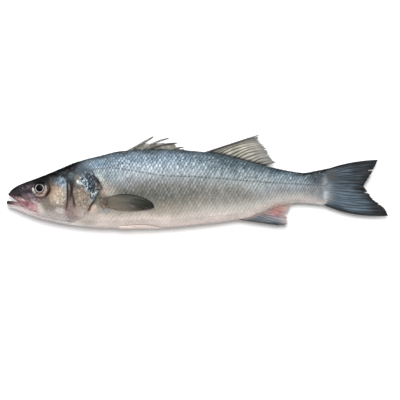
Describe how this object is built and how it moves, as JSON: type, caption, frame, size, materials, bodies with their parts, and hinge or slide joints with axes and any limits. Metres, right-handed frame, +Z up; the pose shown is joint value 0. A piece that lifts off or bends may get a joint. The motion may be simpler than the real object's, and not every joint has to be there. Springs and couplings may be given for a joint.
{
  "type": "whole sea bass",
  "caption": "Whole raw silver fish lying on its right flank, with parted jaws, torn spiny back fin, soft back and belly fins and a forked tail.",
  "frame": {"origin": "under the middle of the fish's box, on the surface that it lies on", "axes": "+X from the jaws to the tail, +Y from the belly to the back, +Z up, out of the uppermost left flank"},
  "size_m": [0.3798, 0.0936, 0.0437],
  "materials": {
    "skin": "wet silver fish skin, blue-grey back and cream belly"
  },
  "bodies": {
    "root": {"sea_bass": "skin"}
  },
  "joints": []
}
